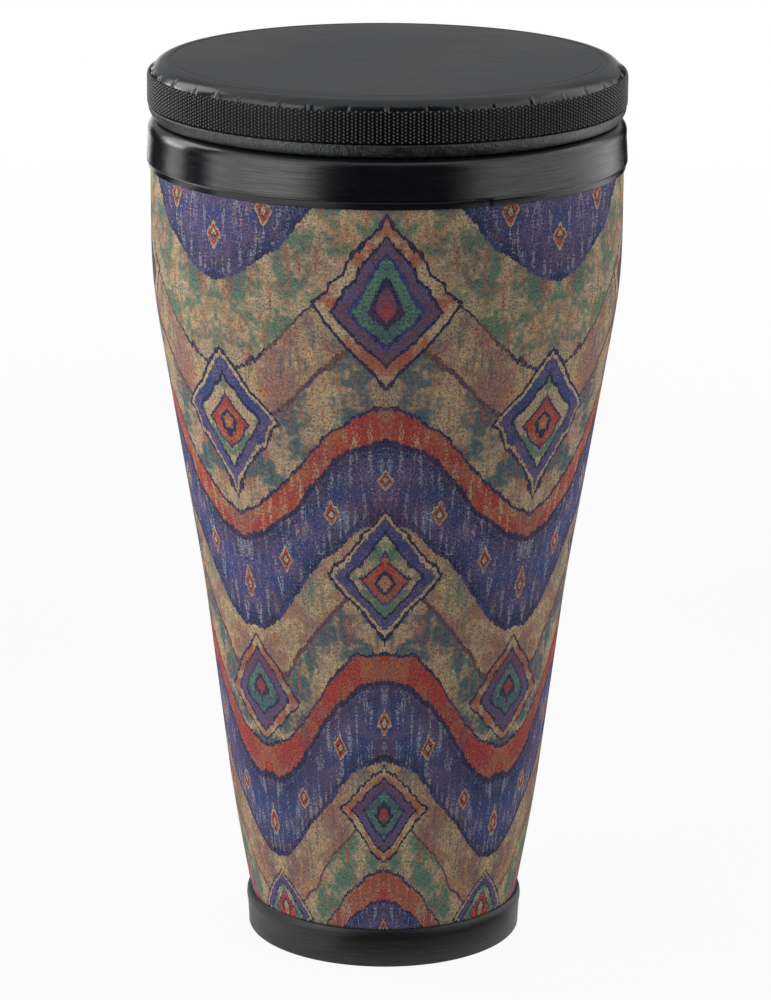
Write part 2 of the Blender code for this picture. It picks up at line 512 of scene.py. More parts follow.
def film_material():
    """Charcoal film: satin and faintly brushed, and glossier where it is stretched over the hoop."""
    material, tree, shader, place = new_material("charcoal_film")
    brushed = noise(tree, place, FILM_BRUSHED)
    tone = weigh(tree, noise(tree, place, FILM_CLOUD), 0.5, brushed, 0.5)
    across = calc(tree, "SQRT", squared_distance(tree, place))
    stretched = add(tree, "MapRange", Value=across, **FILM_STRETCHED).outputs[0]
    roughness = mix(tree, stretched, fade(tree, tone, FILM_SATIN), grey(FILM_STRETCHED_ROUGHNESS))
    relief = weigh(tree, brushed, 0.6, noise(tree, place, FILM_TOOTH), 1.0)
    specular = calc(tree, "MULTIPLY_ADD", stretched, *FILM_SPECULAR)
    feed(tree, shader, Base_Color=ramp(tree, tone, FILM_TONES), Roughness=roughness)
    feed(tree, shader, Specular_IOR_Level=specular, Normal=bump(tree, *FILM_RELIEF, relief))
    return material


# Webbing
WEBBING_THREAD = (900, 2, 0.6)
WEBBING_WEAR = (30, 2, 0.5)
# The backing's colour is painted shade in the gaps between the stitches, and the stitches' greys are
# partly painted light on their tops.
WEBBING_GAP_SHADE = paint(15, 16, 16)
WEBBING_DARK = paint(52, 55, 53)
WEBBING_LIGHT = paint(80, 84, 80)
WEBBING_WORN = paint(44, 47, 47)
WEBBING_SPECULAR = (0.78, 0.12)
WEBBING_ROUGHNESS = (0.2, 0.34)
WEBBING_RELIEF = (0.35, 0.0003)


def webbing_material():
    """Black webbing: dull and painted near black in its gaps as shade, and shinier and painted greyer
    on its stitches, partly as light on their tops.
    """
    material, tree, shader, place = new_material("black_webbing")
    stitch = add(tree, "Attribute", {"attribute_name": "knob_height"}).outputs["Fac"]
    thread = noise(tree, place, WEBBING_THREAD)
    top = mix(tree, thread, WEBBING_DARK, WEBBING_LIGHT)
    wear = calc(tree, "MULTIPLY", noise(tree, place, WEBBING_WEAR), 0.5)
    # Painted shade and light: the backing is near black as the shade in the gaps, and the stitch tops
    # are grey as the light on them.
    colour = mix(tree, stitch, WEBBING_GAP_SHADE, mix(tree, wear, top, WEBBING_WORN))
    specular = calc(tree, "MULTIPLY_ADD", stitch, *WEBBING_SPECULAR)
    roughness = calc(tree, "MULTIPLY_ADD", thread, *WEBBING_ROUGHNESS)
    feed(tree, shader, Base_Color=colour, Roughness=roughness, Specular_IOR_Level=specular)
    feed(tree, shader, Normal=bump(tree, *WEBBING_RELIEF, thread))
    return material


# Foam
FOAM_GRAIN = (760, 2, 0.6)
FOAM_PATCH = (160, 3, 0.6)
FOAM_TONES = [(0.42, paint(9, 10, 11)), (0.50, paint(22, 24, 25)), (0.58, paint(60, 64, 66))]
FOAM_SHINE = {"Roughness": 0.32, "Specular_IOR_Level": 0.7}
FOAM_RELIEF = (1.0, 0.0010)


def foam_material():
    """Grainy grey foam, as shiny as worn rubber."""
    material, tree, shader, place = new_material("grainy_foam")
    tone = weigh(tree, noise(tree, place, FOAM_PATCH), 0.35, noise(tree, place, FOAM_GRAIN), 0.65)
    colour = ramp(tree, tone, FOAM_TONES)
    feed(tree, shader, Base_Color=colour, Normal=bump(tree, *FOAM_RELIEF, tone), **FOAM_SHINE)
    return material


# Wood fibre
FIBRE_STRANDS = (120, 5, 0.7, (1.0, 1.0, 9.0))
FIBRE_CLOUD = (14, 3, 0.5)
FIBRE_FLECKS = (420, 2, 0.6, (1.0, 1.0, 4.0))
FIBRE_FLECK_FADE = (0.62, 0.72, 0.0, 0.6)
FIBRE_FLECK_TIMES = 1.5
FIBRE_SPAN = (0.36, 0.64)
FIBRE_SHINE = {"Roughness": 0.8, "Specular_IOR_Level": 0.3}
FIBRE_RELIEF = (0.3, 0.0006)
HOOP_TONES = (paint(88, 68, 48), paint(136, 110, 82))
SHELL_TONES = (paint(98, 76, 54), paint(152, 124, 92))


def fibre_material(name, dark, light):
    """Pressed wood fibre: fine strands that run round the piece, with a few paler flecks."""
    material, tree, shader, place = new_material(name)
    strands = noise(tree, place, FIBRE_STRANDS)
    tone = weigh(tree, noise(tree, place, FIBRE_CLOUD), 0.4, strands, 0.6)
    colour = ramp(tree, tone, list(zip(FIBRE_SPAN, (dark, light))))
    flecks = fade(tree, noise(tree, place, FIBRE_FLECKS), FIBRE_FLECK_FADE)
    colour = mix(tree, flecks, colour, lighten(light, FIBRE_FLECK_TIMES))
    feed(tree, shader, Base_Color=colour, Normal=bump(tree, *FIBRE_RELIEF, strands), **FIBRE_SHINE)
    return material


# Collar and foot moulding. The looks of each are (colour, roughness from and to, line strength).
MOULDING_LINES = (64, 4, 0.7, (1.0, 1.0, 16.0))
MOULDING_HAZE = (24, 4, 0.6)
MOULDING_SCRATCHES = (210, 3, 0.75, (1.0, 1.0, 14.0))
MOULDING_SHEEN = (30, 5, 0.75, (1.0, 1.0, 40.0))
MOULDING_SHEEN_FADE = (0.36, 0.64, 0.34, 0.62)
MOULDING_SPAN = (0.36, 0.66)
MOULDING_ROUGHNESS_SPAN = (0.38, 0.62)
MOULDING_DUST = (1.9, 0.0015)
MOULDING_RELIEF_DISTANCE = 0.0004
COLLAR_LOOKS = (paint(16, 17, 20), (0.078, 0.208), 0.32)
FOOT_LOOKS = (paint(9, 10, 12), (0.42, 0.54), 0.06)


def moulding_material(name, base, roughness, streak):
    """Black moulding: fine flow lines that run round the ring, and a little dust-fine wear."""
    material, tree, shader, place = new_material(name)
    lines = noise(tree, place, MOULDING_LINES)
    tone = weigh(tree, noise(tree, place, MOULDING_HAZE), 0.4, lines, 0.6)
    colour = ramp(tree, tone, list(zip(MOULDING_SPAN, (base, lighten(base, *MOULDING_DUST)))))
    rough = fade(tree, tone, (*MOULDING_ROUGHNESS_SPAN, *roughness))
    sheen = fade(tree, noise(tree, place, MOULDING_SHEEN), MOULDING_SHEEN_FADE)
    relief = weigh(tree, lines, 1.0, noise(tree, place, MOULDING_SCRATCHES), 0.35)
    feed(tree, shader, Base_Color=colour, Roughness=rough, Specular_IOR_Level=sheen)
    feed(tree, shader, Normal=bump(tree, streak, MOULDING_RELIEF_DISTANCE, relief))
    return material


# Centring ring
RING_HAZE = (40, 4, 0.6)
RING_RUBS = (160, 3, 0.7, (1.0, 1.0, 0.1))
RING_TONES = [(0.35, paint(26, 26, 27)), (0.65, paint(40, 40, 41))]
RING_ROUGHNESS = (0.35, 0.65, 0.36, 0.58)
RING_RELIEF = (0.2, 0.0003)


def ring_material():
    """Plain black ring, rubbed in upright streaks where it slides into the collar."""
    material, tree, shader, place = new_material("black_ring")
    rubbed = noise(tree, place, RING_RUBS)
    feed(tree, shader, Base_Color=ramp(tree, noise(tree, place, RING_HAZE), RING_TONES))
    feed(tree, shader, Roughness=fade(tree, rubbed, RING_ROUGHNESS))
    feed(tree, shader, Normal=bump(tree, *RING_RELIEF, rubbed))
    return material


# Cloth colours
SAND = paint(214, 190, 152)
STRAW = paint(214, 184, 140)
UMBER = paint(120, 92, 72)
CHALK = paint(190, 178, 152)
INDIGO = paint(60, 74, 132)
VIOLET = paint(102, 90, 134)
INK = paint(40, 44, 84)
GREEN = paint(92, 140, 116)
TEAL = paint(70, 110, 116)
RUST = paint(186, 106, 76)
ROSE = paint(174, 126, 116)
ORANGE = paint(206, 118, 66)
RED = paint(188, 64, 56)
PALE = paint(168, 180, 200)
PLUM = paint(114, 78, 100)

# Cloth print. A band is (its top in metres, main colour, second colour, fleck colour).
PRINT_REPEATS = 4
PRINT_WAVE = 0.085
PRINT_BANDS = [
    (0.048, INDIGO, VIOLET, PALE),
    (0.052, INK, INK, VIOLET),
    (0.072, RUST, RED, SAND),
    (0.076, INK, INK, VIOLET),
    (0.112, SAND, GREEN, RUST),
    (0.115, PLUM, UMBER, INK),
    (0.158, STRAW, ROSE, TEAL),
    (0.163, INK, INDIGO, VIOLET),
    (0.216, VIOLET, INDIGO, PALE),
    (0.221, INK, INK, PLUM),
    (0.242, RED, RUST, PLUM),
    (0.247, INK, INK, VIOLET),
    (0.292, SAND, TEAL, RUST),
    (0.295, UMBER, PLUM, INK),
    (0.336, STRAW, ROSE, GREEN),
    (0.341, INK, INDIGO, VIOLET),
    (0.398, INDIGO, VIOLET, PALE),
    (0.403, INK, INK, PLUM),
    (0.420, RUST, RED, SAND),
    (0.425, INK, INK, VIOLET),
    (0.470, SAND, TEAL, RUST),
    (0.473, PLUM, UMBER, INK),
    (0.520, STRAW, ROSE, TEAL),
    (0.523, INK, UMBER, PLUM),
    (0.587, SAND, GREEN, RUST),
    (0.592, INK, INDIGO, VIOLET),
    (0.680, INDIGO, VIOLET, PALE),
]

# Lozenge rings, from the middle out: (outer edge as a share, main colour, second colour).
WARM_RINGS = [
    (0.14, STRAW, RUST),
    (0.22, INK, INK),
    (0.40, RED, RUST),
    (0.46, INK, INDIGO),
    (0.66, SAND, GREEN),
    (0.72, INK, INK),
    (0.92, INDIGO, VIOLET),
    (1.00, STRAW, SAND),
]
COOL_RINGS = [
    (0.16, RED, PLUM),
    (0.26, INK, INK),
    (0.46, TEAL, GREEN),
    (0.54, INK, INDIGO),
    (0.74, VIOLET, PLUM),
    (0.80, INK, INK),
    (1.00, SAND, RUST),
]
RING_EDGE_PLACE = 1.03
RING_EDGE_REACH = 0.035

# Lozenges: (on a crest or in a trough, height, half its height, half its width as a share, rings).
LOZENGES = [
    ("crest", 0.120, 0.036, 0.34, COOL_RINGS),
    ("crest", 0.298, 0.046, 0.36, WARM_RINGS),
    ("crest", 0.497, 0.058, 0.38, COOL_RINGS),
    ("trough", 0.032, 0.030, 0.30, WARM_RINGS),
    ("trough", 0.205, 0.040, 0.34, COOL_RINGS),
    ("trough", 0.402, 0.050, 0.36, WARM_RINGS),
]

# Seeds: small diamonds in rows along the blue waves, with their rings as above.
SEED_LINES = (0.024, 0.190, 0.370, 0.622)
SEEDS_PER_HALF_WAVE = 3
SEED_HALF_HEIGHT = 0.0115
SEED_HALF_WIDTH = 0.17
SEED_RINGS = [
    (0.34, STRAW, SAND),
    (0.50, INK, INK),
    (0.78, RED, RUST),
    (1.00, SAND, CHALK),
]

# Dye. It bleeds along the warp, so that edges waver and feather up and down.
MIRROR_SPAN = 0.12
DYE_DRIFT = (16, 2, 0.5)
DYE_RIPPLE = (70, 3, 0.6)
DYE_FEATHER = (420, 2, 0.6, (1.0, 0.18, 1.0))
DRIFT_REACH = 0.030
RIPPLE_REACH = 0.008
FEATHER_REACH = 0.008
SIDEWAYS_SWAY = 0.06
DYE_PATCH = (34, 4, 0.65)
DYE_MOTTLE = (260, 3, 0.7)
DYE_SPECK = (700, 2, 0.7)
DYE_STREAK = (230, 3, 0.65, (1.0, 0.16, 1.0))
SPECK_SHARE = 0.30
SECOND_FADE = (0.47, 0.54, 0.0, 1.0)
FLECK_FADE = (0.535, 0.59, 0.0, 0.76)

# Tinges on the sand, and shade in the blue bands as (share of the band, grey)
SAND_FADE = (0.12, 0.34, 0.0, 1.0)
TINGE_PATCH = (26, 4, 0.7)
WARM_TINGE = (0.53, 0.63, 0.0, 0.62)
COOL_TINGE = (0.38, 0.47, 0.55, 0.0)
BAND_SHADE = ((0.0, 1.0), (0.03, 0.55), (0.30, 1.0), (0.70, 1.0), (0.97, 0.55), (1.0, 1.0))

# Print grain
PRINT_GRAIN = 520.0
DARK_GRAIN = (PRINT_GRAIN, 3, 0.75)
DARK_GRAIN_FADE = (0.30, 0.70, 0.0, 1.0)
DARK_GRAIN_SHARE = 0.66
GRAIN_STRENGTH = (0.08, 0.40, 0.48, 1.0)
STRAY_GRAIN = (0.55 * PRINT_GRAIN, 2, 0.8, (1.0, 0.6, 1.0))
STRAY_DYES = [(0.0, INK), (0.40, TEAL), (0.45, CHALK), (0.50, UMBER), (0.55, GREEN), (0.60, RUST)]
STRAY_FADE = (0.36, 0.68, 0.03, 0.34)
SHADE_GRAIN = (22, 3, 0.6)
SHADE_FADE = (0.48, 0.62, 0.0, 0.55)
PIT_FADE = (0.40, 0.48, 0.8, 0.0)
DOT_GRAIN = (820, 2, 0.7)
DOT_FADE = (0.58, 0.68, 0.0, 0.50)
WASH_GRAIN = (7, 3, 0.5)
WASH_FADE = (0.3, 0.7, 0.93, 1.0)

# Cloth surface
CLOTH_THREADS = {"Scale": 180, "Distortion": 0.6}
CLOTH_SHINE = {"Roughness": 0.85, "Specular_IOR_Level": 0.25}
CLOTH_RELIEF = (0.25, 0.0003)


def stepped(tree, value, bands, column):
    """One column of a list's colours, each up to its own band's edge."""
    span = bands[-1][0]
    starts = [0.0] + [band[0] / span for band in bands[:-1]]
    stops = [(start, band[column]) for start, band in zip(starts, bands)]
    return ramp(tree, value, stops, "CONSTANT")


def wave_height(tree, across, height):
    """A height measured from the wave: the wave's crest is at 0 across and its trough at 1."""
    turned = calc(tree, "COSINE", calc(tree, "MULTIPLY", across, math.pi))
    rise = calc(tree, "MULTIPLY_ADD", turned, PRINT_WAVE / 2, -PRINT_WAVE / 2)
    return calc(tree, "SUBTRACT", height, rise)


def diamond(tree, sideways, half_width, height, centre, half_height):
    """How far out a point lies in a diamond: 0 in its middle, and 1 at its edge."""
    upright = calc(tree, "ABSOLUTE", calc(tree, "SUBTRACT", height, centre))
    share = calc(tree, "DIVIDE", sideways, half_width)
    return calc(tree, "ADD", share, calc(tree, "DIVIDE", upright, half_height))


def paint_rings(tree, colour, out, rings, take_second):
    """Lays a diamond's rings over the colour wherever its share is below 1, inside a dark edge."""
    main = stepped(tree, out, rings, 1)
    inside = mix(tree, take_second, main, stepped(tree, out, rings, 2))
    colour = mix(tree, calc(tree, "LESS_THAN", out, 1.0), colour, inside)
    return mix(tree, calc(tree, "COMPARE", out, RING_EDGE_PLACE, RING_EDGE_REACH), colour, INK)


def dye_bleed(tree, mirrored, ripple):
    """How far the dye has run up or down."""
    run = weigh(tree, noise(tree, mirrored, DYE_DRIFT), DRIFT_REACH, ripple, RIPPLE_REACH)
    middle = (DRIFT_REACH + RIPPLE_REACH + FEATHER_REACH) / 2
    feather = noise(tree, mirrored, DYE_FEATHER)
    return calc(tree, "MULTIPLY_ADD", feather, FEATHER_REACH, calc(tree, "SUBTRACT", run, middle))


def second_patches(tree, mirrored, mottle, speck):
    """Where the second colours take over."""
    mottled = weigh(tree, mottle, 0.24, noise(tree, mirrored, DYE_PATCH), 0.76)
    speckled = calc(tree, "MULTIPLY_ADD", calc(tree, "SUBTRACT", speck, 0.5), SPECK_SHARE, mottled)
    return fade(tree, speckled, SECOND_FADE)


def band_shade(tree, level):
    """Darkens the blue bands towards their edges."""
    span = PRINT_BANDS[-1][0]
    stops = []
    low = 0.0
    for band in PRINT_BANDS:
        high = band[0] / span
        if band[1] in (INDIGO, VIOLET):
            stops += [(low + (high - low) * share, grey(shade)) for share, shade in BAND_SHADE]
        low = high
    return ramp(tree, level, stops)


def wave_colours(tree, mirrored, wave, speck, take_second):
    """The stacked waves, with their second colours in patches and their flecks in upright streaks."""
    level = calc(tree, "DIVIDE", wave, PRINT_BANDS[-1][0])
    main, second, flecks = (stepped(tree, level, PRINT_BANDS, column) for column in (1, 2, 3))
    colour = mix(tree, 1.0, mix(tree, take_second, main, second), band_shade(tree, level), "MULTIPLY")
    streaked = weigh(tree, noise(tree, mirrored, DYE_STREAK), 0.6, speck, 0.4)
    return mix(tree, fade(tree, streaked, FLECK_FADE), colour, flecks)


def tinge(tree, colour, mirrored, speck):
    """Warm and cool patches on the sand, where other dyes have run into it."""
    on_sand = paleness(tree, colour, SAND_FADE)
    patch = weigh(tree, noise(tree, mirrored, TINGE_PATCH), 0.75, speck, 0.25)
    for levels, dye in ((WARM_TINGE, ORANGE), (COOL_TINGE, TEAL)):
        share = calc(tree, "MULTIPLY", on_sand, fade(tree, patch, levels))
        colour = mix(tree, share, colour, dye)
    return colour


def seed_rows(tree, colour, across, height, take_second):
    """Rows of seeds, each upright and centred on its wave."""
    bead = calc(tree, "MULTIPLY", across, SEEDS_PER_HALF_WAVE)
    sideways = calc(tree, "PINGPONG", bead, 0.5)
    nearest = calc(tree, "DIVIDE", calc(tree, "ROUND", bead), SEEDS_PER_HALF_WAVE)
    level = wave_height(tree, nearest, height)
    for line in SEED_LINES:
        out = diamond(tree, sideways, SEED_HALF_WIDTH, level, line, SEED_HALF_HEIGHT)
        colour = paint_rings(tree, colour, out, SEED_RINGS, take_second)
    return colour


def lozenges(tree, colour, across, height, take_second):
    """The ringed lozenges on the waves' crests and in their troughs."""
    for end, centre, half_height, half_width, rings in LOZENGES:
        sideways = across if end == "crest" else calc(tree, "SUBTRACT", 1.0, across)
        out = diamond(tree, sideways, half_width, height, centre, half_height)
        colour = paint_rings(tree, colour, out, rings, take_second)
    return colour


def print_grain(tree, colour, mirrored, mottle, speck):
    """Breaks the colours up, the palest most: grain, stray dyes, plum shades, pits and pale dots."""
    strength = paleness(tree, colour, GRAIN_STRENGTH)
    grain = fade(tree, noise(tree, mirrored, DARK_GRAIN), DARK_GRAIN_FADE)
    colour = mix(tree, calc(tree, "MULTIPLY", strength, DARK_GRAIN_SHARE), colour, grain, "OVERLAY")
    strays = ramp(tree, noise(tree, mirrored, STRAY_GRAIN), STRAY_DYES, "CONSTANT")
    colour = mix(tree, calc(tree, "MULTIPLY", strength, fade(tree, mottle, STRAY_FADE)), colour, strays)
    shade = fade(tree, noise(tree, mirrored, SHADE_GRAIN), SHADE_FADE)
    colour = mix(tree, shade, colour, mix(tree, 0.5, colour, PLUM))
    pits = calc(tree, "MULTIPLY", strength, fade(tree, speck, PIT_FADE))
    colour = mix(tree, pits, colour, UMBER, "MULTIPLY")
    dots = fade(tree, noise(tree, mirrored, DOT_GRAIN), DOT_FADE)
    return mix(tree, calc(tree, "MULTIPLY", strength, dots), colour, PALE)


def cloth_material():
    """Printed cloth. Its pattern is mirrored at each crest and trough, and so is its grain."""
    material, tree, shader, place = new_material("printed_cloth")
    sheet = add(tree, "UVMap", {"uv_map": "cloth"}).outputs[0]
    split = add(tree, "SeparateXYZ", Vector=sheet).outputs
    across = calc(tree, "PINGPONG", calc(tree, "MULTIPLY", split[0], 2 * PRINT_REPEATS), 1.0)
    sideways = calc(tree, "MULTIPLY", across, MIRROR_SPAN)
    mirrored = add(tree, "CombineXYZ", X=sideways, Y=split[1], Z=0.0).outputs[0]
    ripple = noise(tree, mirrored, DYE_RIPPLE)
    mottle = noise(tree, mirrored, DYE_MOTTLE)
    speck = noise(tree, mirrored, DYE_SPECK)
    take_second = second_patches(tree, mirrored, mottle, speck)

    height = calc(tree, "ADD", split[1], dye_bleed(tree, mirrored, ripple))
    wave = wave_height(tree, across, height)
    colour = wave_colours(tree, mirrored, wave, speck, take_second)
    colour = tinge(tree, colour, mirrored, speck)
    colour = seed_rows(tree, colour, across, height, take_second)
    sway = calc(tree, "MULTIPLY_ADD", ripple, SIDEWAYS_SWAY, -SIDEWAYS_SWAY / 2)
    swayed = calc(tree, "ABSOLUTE", calc(tree, "ADD", across, sway))
    colour = lozenges(tree, colour, swayed, height, take_second)
    colour = print_grain(tree, colour, mirrored, mottle, speck)
    wash = fade(tree, noise(tree, place, WASH_GRAIN), WASH_FADE)
    colour = mix(tree, 1.0, colour, wash, "MULTIPLY")

    threads = add(tree, "TexWave", {"bands_direction": "Z"}, Vector=place, **CLOTH_THREADS)
    relief = weigh(tree, threads.outputs["Fac"], 0.5, speck, 1.0)
    feed(tree, shader, Base_Color=colour, Normal=bump(tree, *CLOTH_RELIEF, relief), **CLOTH_SHINE)
    return material


# Pieces


def make_film():
    """The playing film: flat, with a faint pressed crease, then rounded over the hoop and crimped."""
    radius, bottom, top = reach("head_film")
    flat = radius - SHOULDER_INSET
    underside = top - FILM_THICKNESS
    crease = down_from(radius, top, FILM_CREASE)
    curve = smooth_line(down_from(radius, top, FILM_SHOULDER), SHOULDER_SPANS)
    inside = [(r - FILM_THICKNESS, z - FILM_THICKNESS / 2) for r, z in reversed(curve[1:])]
    outline = [
        (0.0, top),
        (flat / 2, top),
        *crease,
        *curve,
        (radius, bottom),
        (radius - FILM_THICKNESS, bottom),
        *inside,
        (flat, underside),
        (0.0, underside),
    ]
    piece = turn_outline("playing_film", outline, CRIMP_COUNT * CRIMP_COLUMNS, closed=False)
    crimp(piece, radius, top - SHOULDER_DROP)
    return finish_piece(piece, film_material(), "drum_head", "head_film")


def crimp(piece, radius, low):
    """Pinches the film's skirt in short upright folds all round."""
    dice = random.Random(CRIMP_SEED)
    folds = []
    for count in range(CRIMP_COUNT):
        angle = (count + dice.uniform(-CRIMP_SHIFT, CRIMP_SHIFT)) * CRIMP_PITCH
        shape = (dice.uniform(*CRIMP_SIZES), dice.uniform(*CRIMP_RISES), dice.choice((-1, 1)))
        folds.append((angle, *shape))
    for vertex in piece.data.vertices:
        if from_axis(vertex.co) < radius - CRIMP_REACH or vertex.co.z < low - CRIMP_SKIRT:
            continue
        angle = angle_of(vertex.co)
        nearest = int((angle % 360.0) / CRIMP_PITCH)
        above = max(0.0, vertex.co.z - low)
        push = 0.0
        for step in (-1, 0, 1):
            middle, *shape = folds[(nearest + step) % CRIMP_COUNT]
            across = math.radians(turn_between(middle, angle)) * radius
            push += fold_push(across, above, *shape)
        push_out(vertex, push, push * CRIMP_LIFT)


def fold_push(across, above, size, rise, side):
    """How far a fold pushes the film out at a place beside it and above its foot."""
    up = max(0.0, 1.0 - above / (CRIMP_REACH * rise))
    groove = GROOVE_SHARE * bell(across - side * GROOVE_PLACE, GROOVE_WIDTH)
    ridge = (bell(across, CRIMP_WIDTH) - groove) * up**CRIMP_FADE
    dip = bell(across, DIP_WIDTH) * up
    return size * (CRIMP_HEIGHT * ridge - DIP_DEPTH * dip)


def make_strap():
    """The woven strap: a backing painted dark as shade, stitches in slanted pairs, and one lapped end
    at the back.
    """
    radius, bottom, top = reach("webbing_band")
    inner = reach("head_film")[0] + GLUE_GAP
    face = radius - STITCH_STANDS
    outline = [
        *down_from(face, top, STRAP_TOP_FACE),
        *up_from(face, bottom, STRAP_FOOT_FACE),
        (inner, bottom),
        (inner, top),
    ]
    backing = turn_outline("woven_strap", outline, STRAP_FACETS)
    mark_height(backing, 0.0)
    stitches = make_stitches(face, bottom, top)
    mark_height(stitches, 1.0)
    select_only(backing)
    stitches.select_set(True)
    bpy.ops.object.join()
    lap_strap_end(backing)
    return finish_piece(backing, webbing_material(), "drum_head", "webbing_band")


def mark_height(piece, value):
    """Marks a mesh's points as backing or as stitch, for the webbing's colour: painted shade on the
    backing, painted light on the stitches.
    """
    marks = piece.data.attributes.new("knob_height", "FLOAT", "POINT")
    for mark in marks.data:
        mark.value = value


def make_stitches(face, bottom, top):
    """One pair of slanted stitches, repeated up the strap and then round it."""
    rise = (top - bottom - WEAVE_MARGIN) / WEAVE_ROWS
    column = FULL_TURN * face / WEAVE_COLUMNS
    bpy.ops.object.select_all(action="DESELECT")
    pair = []
    for side, level in STITCH_PAIR:
        place = (side * column * PAIR_SPREAD, -face, bottom + WEAVE_MARGIN + rise * level)
        bpy.ops.mesh.primitive_uv_sphere_add(location=place, **STITCH_MESH)
        stitch = bpy.context.object
        stitch.scale = (STITCH_WIDTH, STITCH_STANDS * 2, STITCH_LENGTH)
        stitch.rotation_euler = (0.0, math.radians(side * STITCH_SLANT), 0.0)
        pair.append(settle(stitch))
    select_only(pair[0])
    pair[1].select_set(True)
    bpy.ops.object.join()
    stitches = bpy.context.object
    bpy.ops.object.shade_smooth()
    repeat(stitches, WEAVE_ROWS, use_constant_offset=True, constant_offset_displace=(0.0, 0.0, rise))
    follow_rounding(stitches, top)
    bpy.ops.object.empty_add(rotation=(0.0, 0.0, FULL_TURN / WEAVE_COLUMNS))
    turn = bpy.context.object
    select_only(stitches)
    repeat(stitches, WEAVE_COLUMNS, use_object_offset=True, offset_object=turn)
    bpy.data.objects.remove(turn)
    return stitches


def repeat(piece, count, **offset):
    """Repeats the active piece, each copy set off from the last."""
    copies = piece.modifiers.new("copies", "ARRAY")
    copies.count = count
    copies.use_relative_offset = False
    for setting, value in offset.items():
        setattr(copies, setting, value)
    bpy.ops.object.modifier_apply(modifier=copies.name)


def follow_rounding(stitches, top):
    """Draws the top row of stitches in with the strap's rounded upper edge."""
    for vertex in stitches.data.vertices:
        over = max(0.0, vertex.co.z - (top - STRAP_ROUNDING))
        vertex.co.y += STRAP_DRAW_IN * (over / STRAP_ROUNDING) ** 2


def lap_strap_end(strap):
    """Lifts the strap's last stretch over its first, with a cut edge at the lap."""
    backed = reach("head_film")[0] + STRAP_LAP_GAP
    for vertex in strap.data.vertices:
        past = turn_between(SEAM_ANGLE, angle_of(vertex.co))
        if -STRAP_LAP < past < 0.0 and from_axis(vertex.co) > backed:
            push_out(vertex, STRAP_STEP * min(1.0, (past + STRAP_LAP) / STRAP_LAP_RISE))


def make_cushion():
    """The foam ring under the strap: tapered towards the gap, with a grainy face."""
    radius, bottom, top = reach("cushion_ring")
    bore = reach("centring_ring")[0] + GLUE_GAP
    face = down_from(radius, top, CUSHION_FACE)
    outline = [(bore, top), *face, (radius - CUSHION_FOOT, bottom), (bore, bottom)]
    piece = turn_outline("cushion_ring_foam", outline, CUSHION_FACETS)
    dice = random.Random(CUSHION_SEED)
    low = bottom + CUSHION_PLAIN_EDGE
    high = top - CUSHION_PLAIN_EDGE
    for vertex in piece.data.vertices:
        if from_axis(vertex.co) > bore + CUSHION_PLAIN_BORE and low < vertex.co.z < high:
            push_out(vertex, dice.uniform(-CUSHION_GRAIN, CUSHION_GRAIN))
    return finish_piece(piece, foam_material(), "drum_head", "cushion_ring")


def make_hoop():
    """The fibre hoop that gives the film its shoulder."""
    radius, bottom, top = reach("head_hoop")
    bore = reach("centring_ring")[0] + GLUE_GAP
    face = radius - HOOP_CLEARANCE
    centre = (face - HOOP_ROUND, top - HOOP_ROUND_DROP)
    outline = [
        *down_from(bore, top, HOOP_BORE_EDGE),
        *reversed(bend(centre, HOOP_ROUND, 0, HOOP_ROUND_END, ROUND_STEPS)),
        (face, bottom),
        (bore, bottom),
    ]
    piece = turn_outline("hoop_of_head", outline, HIDDEN_FACETS)
    material = fibre_material("fibre_hoop", *HOOP_TONES)
    return finish_piece(piece, material, "drum_head", "head_hoop")


def make_centring_ring():
    """The plain ring that reaches down into the collar, with a lead-in at its foot."""
    radius, bottom, top = reach("centring_ring")
    inner = radius - RING_WALL
    outline = [
        (radius - RING_EDGE, top),
        (radius, top - RING_EDGE),
        *up_from(radius, bottom, RING_LEAD_IN),
        (inner + RING_EDGE, bottom),
        (inner, bottom + RING_EDGE),
        (inner, top - RING_EDGE),
        (inner + RING_EDGE, top),
    ]
    piece = turn_outline("centring_tube", outline, HIDDEN_FACETS)
    return finish_piece(piece, ring_material(), "drum_head", "centring_ring")


def make_collar():
    """The collar moulding: rounded top, a fine raised lip low down, and the channel for the tube."""
    radius, bottom, top = reach("collar")
    cloth = reach("fabric_wrap")[0]
    tube = cloth - SHELL_INSET
    tube_bore = tube - SHELL_WALL
    bore = reach("centring_ring")[0] + COLLAR_BORE_GAP
    waist = radius - COLLAR_WAIST_INSET
    centre = (waist - COLLAR_ROUND, top - COLLAR_ROUND)
    outline = [
        (bore, top - COLLAR_BORE_EDGE),
        (bore + COLLAR_BORE_EDGE, top),
        (waist - COLLAR_ROUND, top),
        *reversed(bend(centre, COLLAR_ROUND, 0, COLLAR_ROUND_END, ROUND_STEPS)),
        *down_from(waist, top, COLLAR_WAIST_FACE),
        *up_from(radius, bottom, COLLAR_LIP_FACE),
        *up_from(cloth, bottom, COLLAR_SKIRT_EDGE),
        (tube + CHANNEL_GAP, bottom + CHANNEL_STEP),
        (tube + CHANNEL_GAP, top - CHANNEL_ROOF),
        (tube_bore - CHANNEL_GAP, top - CHANNEL_ROOF),
        (tube_bore - CHANNEL_GAP, bottom + COLLAR_INNER_FOOT),
        (bore, bottom + COLLAR_INNER_FOOT),
    ]
    piece = turn_outline("collar_moulding", outline, COLLAR_FACETS)
    nick_lip(piece, radius, bottom)
    material = moulding_material("black_moulding", *COLLAR_LOOKS)
    return finish_piece(piece, material, "drum_shell", "collar")


